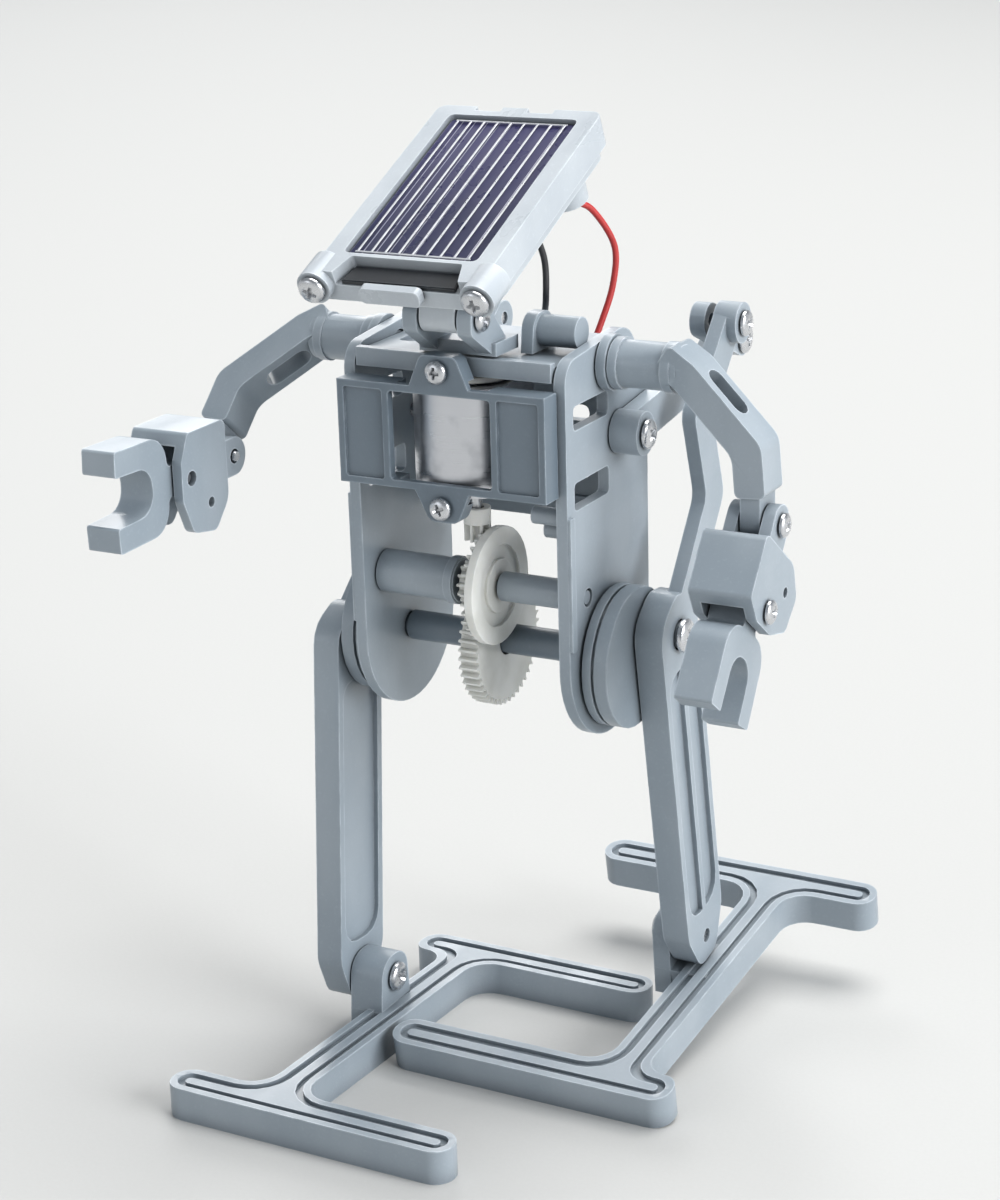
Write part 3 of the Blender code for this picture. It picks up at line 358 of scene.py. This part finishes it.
def make_materials():
    MATERIALS["grey_plastic"] = moulded("grey_abs", (0.270, 0.318, 0.362), (0.325, 0.372, 0.415))
    # painted shade: a darker copy of the grey plastic, coloured like its shaded front faces
    MATERIALS["shaded_grey_plastic"] = moulded(
        "slate_abs", (0.125, 0.162, 0.198), (0.160, 0.200, 0.238), rough=0.40, wear=(0.42, 0.48, 0.54)
    )
    MATERIALS["pale_plastic"] = moulded(
        "pale_abs", (0.43, 0.47, 0.51), (0.50, 0.54, 0.575), rough=0.34, wear=(0.72, 0.77, 0.80)
    )
    # painted shadow: near-black plastic standing in for the shade in the tray's front recess
    MATERIALS["dark_plastic"] = moulded(
        "dark_abs", (0.010, 0.012, 0.016), (0.018, 0.021, 0.026),
        rough=0.52, wear=(0.07, 0.08, 0.09), gloss=0.0,
    )
    MATERIALS["white_gear"] = gear_plastic()
    MATERIALS["steel"] = metal("screw_steel", (0.66, 0.67, 0.69), 0.27, (1, 1, 1))
    MATERIALS["can_steel"] = metal("drawn_steel", (0.66, 0.67, 0.70), 0.30, (0.05, 0.05, 4.0))
    MATERIALS["silicon"] = silicon()
    MATERIALS["black_wire"] = insulation("black_pvc", (0.010, 0.010, 0.012), (0.022, 0.022, 0.025))
    MATERIALS["red_wire"] = insulation("red_pvc", (0.42, 0.022, 0.022), (0.55, 0.040, 0.035))


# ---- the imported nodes: soft edges and materials --------------------------------
def smooth_group():
    group = bpy.data.node_groups.new("shade_smooth", "GeometryNodeTree")
    group.interface.new_socket("Geometry", in_out="INPUT", socket_type="NodeSocketGeometry")
    group.interface.new_socket("Geometry", in_out="OUTPUT", socket_type="NodeSocketGeometry")
    start = group.nodes.new("NodeGroupInput")
    shade = group.nodes.new("GeometryNodeSetShadeSmooth")
    end = group.nodes.new("NodeGroupOutput")
    group.links.new(start.outputs[0], shade.inputs["Geometry"])
    group.links.new(shade.outputs[0], end.inputs[0])
    return group


MOULDED_EDGE = 0.32  # softened edge of a moulded piece, mm
FINE_EDGES = {
    "crown_gear": 0.07, "output_gear": 0.08, "motor_pinion": 0.05, "cell_contacts": 0.05,
    "solar_cell": 0.06, "motor_can": 0.22, "crank_shaft": 0.20, "motor_shaft": 0.10,
}


def soften(obj, width, group):
    weld = obj.modifiers.new("weld", "WELD")
    weld.merge_threshold = 1e-6
    edge = obj.modifiers.new("edge", "BEVEL")
    edge.width = width * MM
    edge.segments = 2
    edge.limit_method = "ANGLE"
    edge.angle_limit = math.radians(38)
    edge.use_clamp_overlap = True
    shade = obj.modifiers.new("shade", "NODES")
    shade.node_group = group
    normals = obj.modifiers.new("normals", "WEIGHTED_NORMAL")
    normals.weight = 80


LOOKS = {
    # the motor bracket and crank take the darker, shade-painted copy of the grey plastic
    "motor_bracket": "shaded_grey_plastic", "crank_shaft": "shaded_grey_plastic",
    "motor_can": "can_steel", "motor_armature": "can_steel", "cell_contacts": "can_steel",
    "motor_shaft": "steel", "solar_cell": "silicon",
    "motor_end_cap": "white_gear", "motor_pinion": "white_gear",
    "crown_gear": "white_gear", "output_gear": "white_gear",
    "panel_tray": "pale_plastic", "panel_back": "pale_plastic", "panel_clip": "pale_plastic",
}  # every other node is grey_plastic


def dress_nodes(skip):
    group = smooth_group()
    for name, obj in NODES.items():
        if name in skip:
            continue
        soften(obj, FINE_EDGES.get(name, MOULDED_EDGE), group)
        look = MATERIALS[LOOKS.get(name, "grey_plastic")]
        for place in obj.material_slots:
            place.material = look


# ---- mesh helpers ----------------------------------------------------------------
def mesh_object(name, bm):
    bmesh.ops.recalc_face_normals(bm, faces=bm.faces)
    mesh = bpy.data.meshes.new(name)
    bm.to_mesh(mesh)
    bm.free()
    obj = bpy.data.objects.new(name, mesh)
    bpy.context.collection.objects.link(obj)
    return obj


def skin(name, rings):
    """A closed mesh through rings of points that all have the same count, capped at both ends."""
    bm = bmesh.new()
    rings = [[bm.verts.new(p) for p in ring] for ring in rings]
    count = len(rings[0])
    for lower, upper in zip(rings, rings[1:]):
        for k in range(count):
            n = (k + 1) % count
            bm.faces.new((lower[k], lower[n], upper[n], upper[k]))
    bm.faces.new(list(reversed(rings[0])))
    bm.faces.new(rings[-1])
    return mesh_object(name, bm)


def ring_of(middle, side, other, radii):
    """Points round middle in the plane of side and other, one for each radius."""
    step = 2 * math.pi / len(radii)
    return [
        middle + (side * math.cos(step * k) + other * math.sin(step * k)) * r
        for k, r in enumerate(radii)
    ]


# ---- screws --------------------------------------------------------------------
FIRST_SPIN, NEXT_SPIN = 0.4, 1.17  # how far each screw stopped turning, radians


def screw_template():
    """A cross screw: head of radius 1 from z = 0 to 1, shank from z = 0 down to z = -1."""
    sides = 40
    profile = [
        (0.40, -1.0), (0.46, -0.96), (0.46, 0.0), (0.93, 0.0), (1.0, 0.10), (1.0, 0.34),
        (0.97, 0.50), (0.90, 0.66), (0.76, 0.82), (0.55, 0.93), (0.30, 0.985),
    ]
    across, up = Vector((1, 0, 0)), Vector((0, 1, 0))
    head = skin("screw_template", [ring_of(Vector((0, 0, z)), across, up, [r] * sides) for r, z in profile])

    long, thin, waist, taper = 0.60, 0.13, 0.20, 0.62
    cross = [
        (thin, long), (-thin, long), (-waist, waist), (-long, thin), (-long, -thin), (-waist, -waist),
        (-thin, -long), (thin, -long), (waist, -waist), (long, -thin), (long, thin), (waist, waist),
    ]
    floor_z, open_z = 0.30, 1.2
    deep = [(x * taper, y * taper, floor_z) for x, y in cross]
    cutter = skin("screw_cutter", [deep, [(x, y, open_z) for x, y in cross]])
    cut = head.modifiers.new("recess", "BOOLEAN")
    cut.object = cutter
    cut.solver = "EXACT"
    edge = head.modifiers.new("edge", "BEVEL")
    edge.width = 0.03
    edge.segments = 2
    edge.limit_method = "ANGLE"
    edge.angle_limit = math.radians(45)
    bpy.context.view_layer.update()
    graph = bpy.context.evaluated_depsgraph_get()
    made = bpy.data.meshes.new_from_object(head.evaluated_get(graph))
    for obj in (head, cutter):
        bpy.data.objects.remove(obj)
    return made


def screw_frame(name, axis):
    """Where a CAD screw is: middle of the head's underside, direction of the head, then the
    head's radius and height and the shank's length."""
    points = [v.co.copy() for v in NODES[name].data.vertices]
    along = [p.dot(axis) for p in points]
    middle = sum((p - axis * t for p, t in zip(points, along)), Vector()) / len(points)
    out = [(p - axis * t - middle).length for p, t in zip(points, along)]
    radius = max(out)
    rim = [t for t, r in zip(along, out) if r > 0.9 * radius]
    low, high = min(rim), max(rim)
    start, end = min(along), max(along)
    if start < low - 0.05 * MM:
        return middle + axis * low, axis, radius, high - low, low - start
    return middle + axis * high, -axis, radius, high - low, end - high


def make_screws():
    template = screw_template()
    axes = {"panel_screw_left": ALONG, "panel_screw_right": ALONG,
            "bracket_screw_upper": Vector((0, 1, 0)), "bracket_screw_lower": Vector((0, 1, 0))}
    names = [n for n in NODES if "screw" in n or n == "neck_pin"]
    for count, name in enumerate(sorted(names)):
        root, out, radius, height, shank = screw_frame(name, axes.get(name, Vector((1, 0, 0))))
        mesh = template.copy()
        side = out.orthogonal().normalized()
        turned = Matrix((side, out.cross(side), out)).transposed().to_4x4()
        spin = Matrix.Rotation(FIRST_SPIN + NEXT_SPIN * count, 4, "Z")
        for v in mesh.vertices:
            v.co = (v.co.x * radius, v.co.y * radius, v.co.z * (shank if v.co.z < 0 else height))
        mesh.transform(Matrix.Translation(root) @ turned @ spin)
        mesh.shade_smooth()
        mesh.set_sharp_from_angle(angle=math.radians(40))
        obj = bpy.data.objects.new(name + "_detail", mesh)
        bpy.context.collection.objects.link(obj)
        mesh.materials.clear()
        mesh.materials.append(MATERIALS["steel"])
        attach(obj, body_of(name))
        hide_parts(name)
    return names


def body_of(node):
    return NODES[node].parent.name.removeprefix("body:")


# ---- leads -----------------------------------------------------------------------
WIRE_R = 0.55
STAND_Y = 1.4  # from the robot's own middle line to the row's origin, mm
BLACK_ROUTE = [
    (7.0, 0.0, 147.7), (7.4, 1.6, 144.6), (8.4, 3.0, 139.6), (8.4, 3.2, 133.6),
    (6.4, 6.2, 129.4), (5.0, 8.0, 126.6), (5.0, 8.0, 122.0),
]
RED_ROUTE = [
    (9.8, 10.6, 148.2), (11.8, 14.0, 146.2), (14.0, 17.4, 140.0), (13.8, 17.2, 133.6),
    (12.6, 15.0, 127.4), (11.4, 12.8, 123.2), (9.8, 9.8, 122.3), (8.2, 7.0, 122.3),
]


def smooth_route(points, steps=14):
    knots = [Vector(p) + Vector((0, STAND_Y, 0)) for p in points]
    knots = [2 * knots[0] - knots[1]] + knots + [2 * knots[-1] - knots[-2]]
    dense = []
    for a, b, c, d in zip(knots, knots[1:], knots[2:], knots[3:]):
        for k in range(steps):
            t = k / steps
            dense.append(0.5 * (2 * b + (c - a) * t + (2 * a - 5 * b + 4 * c - d) * t**2
                                + (3 * b - a - 3 * c + d) * t**3))
    dense.append(knots[-2])
    return dense


def make_lead(name, route, slot):
    path = smooth_route(route)
    sides = 14
    side = (path[1] - path[0]).orthogonal().normalized()
    rings = []
    for k, here in enumerate(path):
        ahead = (path[min(k + 1, len(path) - 1)] - path[max(k - 1, 0)]).normalized()
        side = (side - ahead * side.dot(ahead)).normalized()
        ring = ring_of(here, side, ahead.cross(side), [WIRE_R] * sides)
        rings.append([p * MM for p in ring])
    lead = skin(name + "_lead", rings)
    lead.data.shade_smooth()
    lead.data.set_sharp_from_angle(angle=math.radians(60))
    lead.data.materials.append(MATERIALS[slot])
    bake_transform(lead)
    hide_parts(name)
    make_collar(name + "_collar", path)


def make_collar(name, path):
    """The blob of set glue where a lead leaves the panel."""
    sides = 20
    lumps, lumpiness = 3, 0.08
    ahead = (path[1] - path[0]).normalized()
    side = ahead.orthogonal().normalized()
    profile = [(0.2, -0.5), (1.5, -0.4), (1.55, 0.1), (1.25, 0.75), (0.85, 1.25), (0.58, 1.5)]
    rings = []
    for count, (r, t) in enumerate(profile):
        swell = lumpiness if 0 < count < 4 else 0
        radii = [r * (1 + swell * math.sin(lumps * 2 * math.pi * k / sides + count)) for k in range(sides)]
        rings.append([p * MM for p in ring_of(path[0] + ahead * t, side, ahead.cross(side), radii)])
    blob = skin(name, rings)
    blob.data.shade_smooth()
    blob.data.materials.append(MATERIALS["white_gear"])
    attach(blob, "head")


# ---- small details: a painted shadow strip and soldered tabs ----------------------
PANEL_FRONT = Vector((0, -30.0 + STAND_Y, 141.0))  # middle of the panel's lower edge


def on_panel(x, along, proud):
    """A point on the tilted panel, in mm: across, up the panel and out of it."""
    return PANEL_FRONT + Vector((x, 0, 0)) + ALONG * along + PROUD * proud


def panel_slab(name, corners, low, high, look, edge=0.15):
    """A bevelled plate that lies on the panel; corners are (across, up) in mm."""
    bm = bmesh.new()
    lower = [bm.verts.new(on_panel(x, y, low) * MM) for x, y in corners]
    upper = [bm.verts.new(on_panel(x, y, high) * MM) for x, y in corners]
    for k in range(len(corners)):
        n = (k + 1) % len(corners)
        bm.faces.new((lower[k], lower[n], upper[n], upper[k]))
    bm.faces.new(list(reversed(lower)))
    bm.faces.new(upper)
    bmesh.ops.bevel(
        bm, geom=bm.edges[:], offset=edge * MM, segments=2, affect="EDGES", clamp_overlap=True
    )
    slab = mesh_object(name, bm)
    slab.data.shade_smooth()
    slab.data.set_sharp_from_angle(angle=math.radians(50))
    slab.data.materials.append(MATERIALS[look])
    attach(slab, "head")


def make_panel_details():
    ear_proud = 2.3  # how far each screw ear stands out past the tray's side, mm
    low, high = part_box("panel_tray")
    half = (high.x - low.x) / MM / 2 - ear_proud
    wide, narrow = half - 4.9, half - 5.7
    strip = [(-wide, 0.2), (wide, 0.2), (narrow, 4.1), (-narrow, 4.1)]
    # painted shadow: a near-black slab laid in the front recess in place of its shade
    panel_slab("shadow_strip", strip, -0.45, 0.35, "dark_plastic")
    for count, x in enumerate((-4.2, 4.2)):
        tab = [(x - 1.5, 4.9), (x + 1.5, 4.9), (x + 1.2, 5.6), (x - 1.2, 5.6)]
        panel_slab(f"bus_tab_{count}", tab, 1.0, 1.5, "can_steel", 0.08)


make_camera()
make_materials()
make_studio()
screws = make_screws()
make_lead("wire_black", BLACK_ROUTE, "black_wire")
make_lead("wire_red", RED_ROUTE, "red_wire")
make_panel_details()
dress_nodes(set(screws) | {"wire_black", "wire_red"})
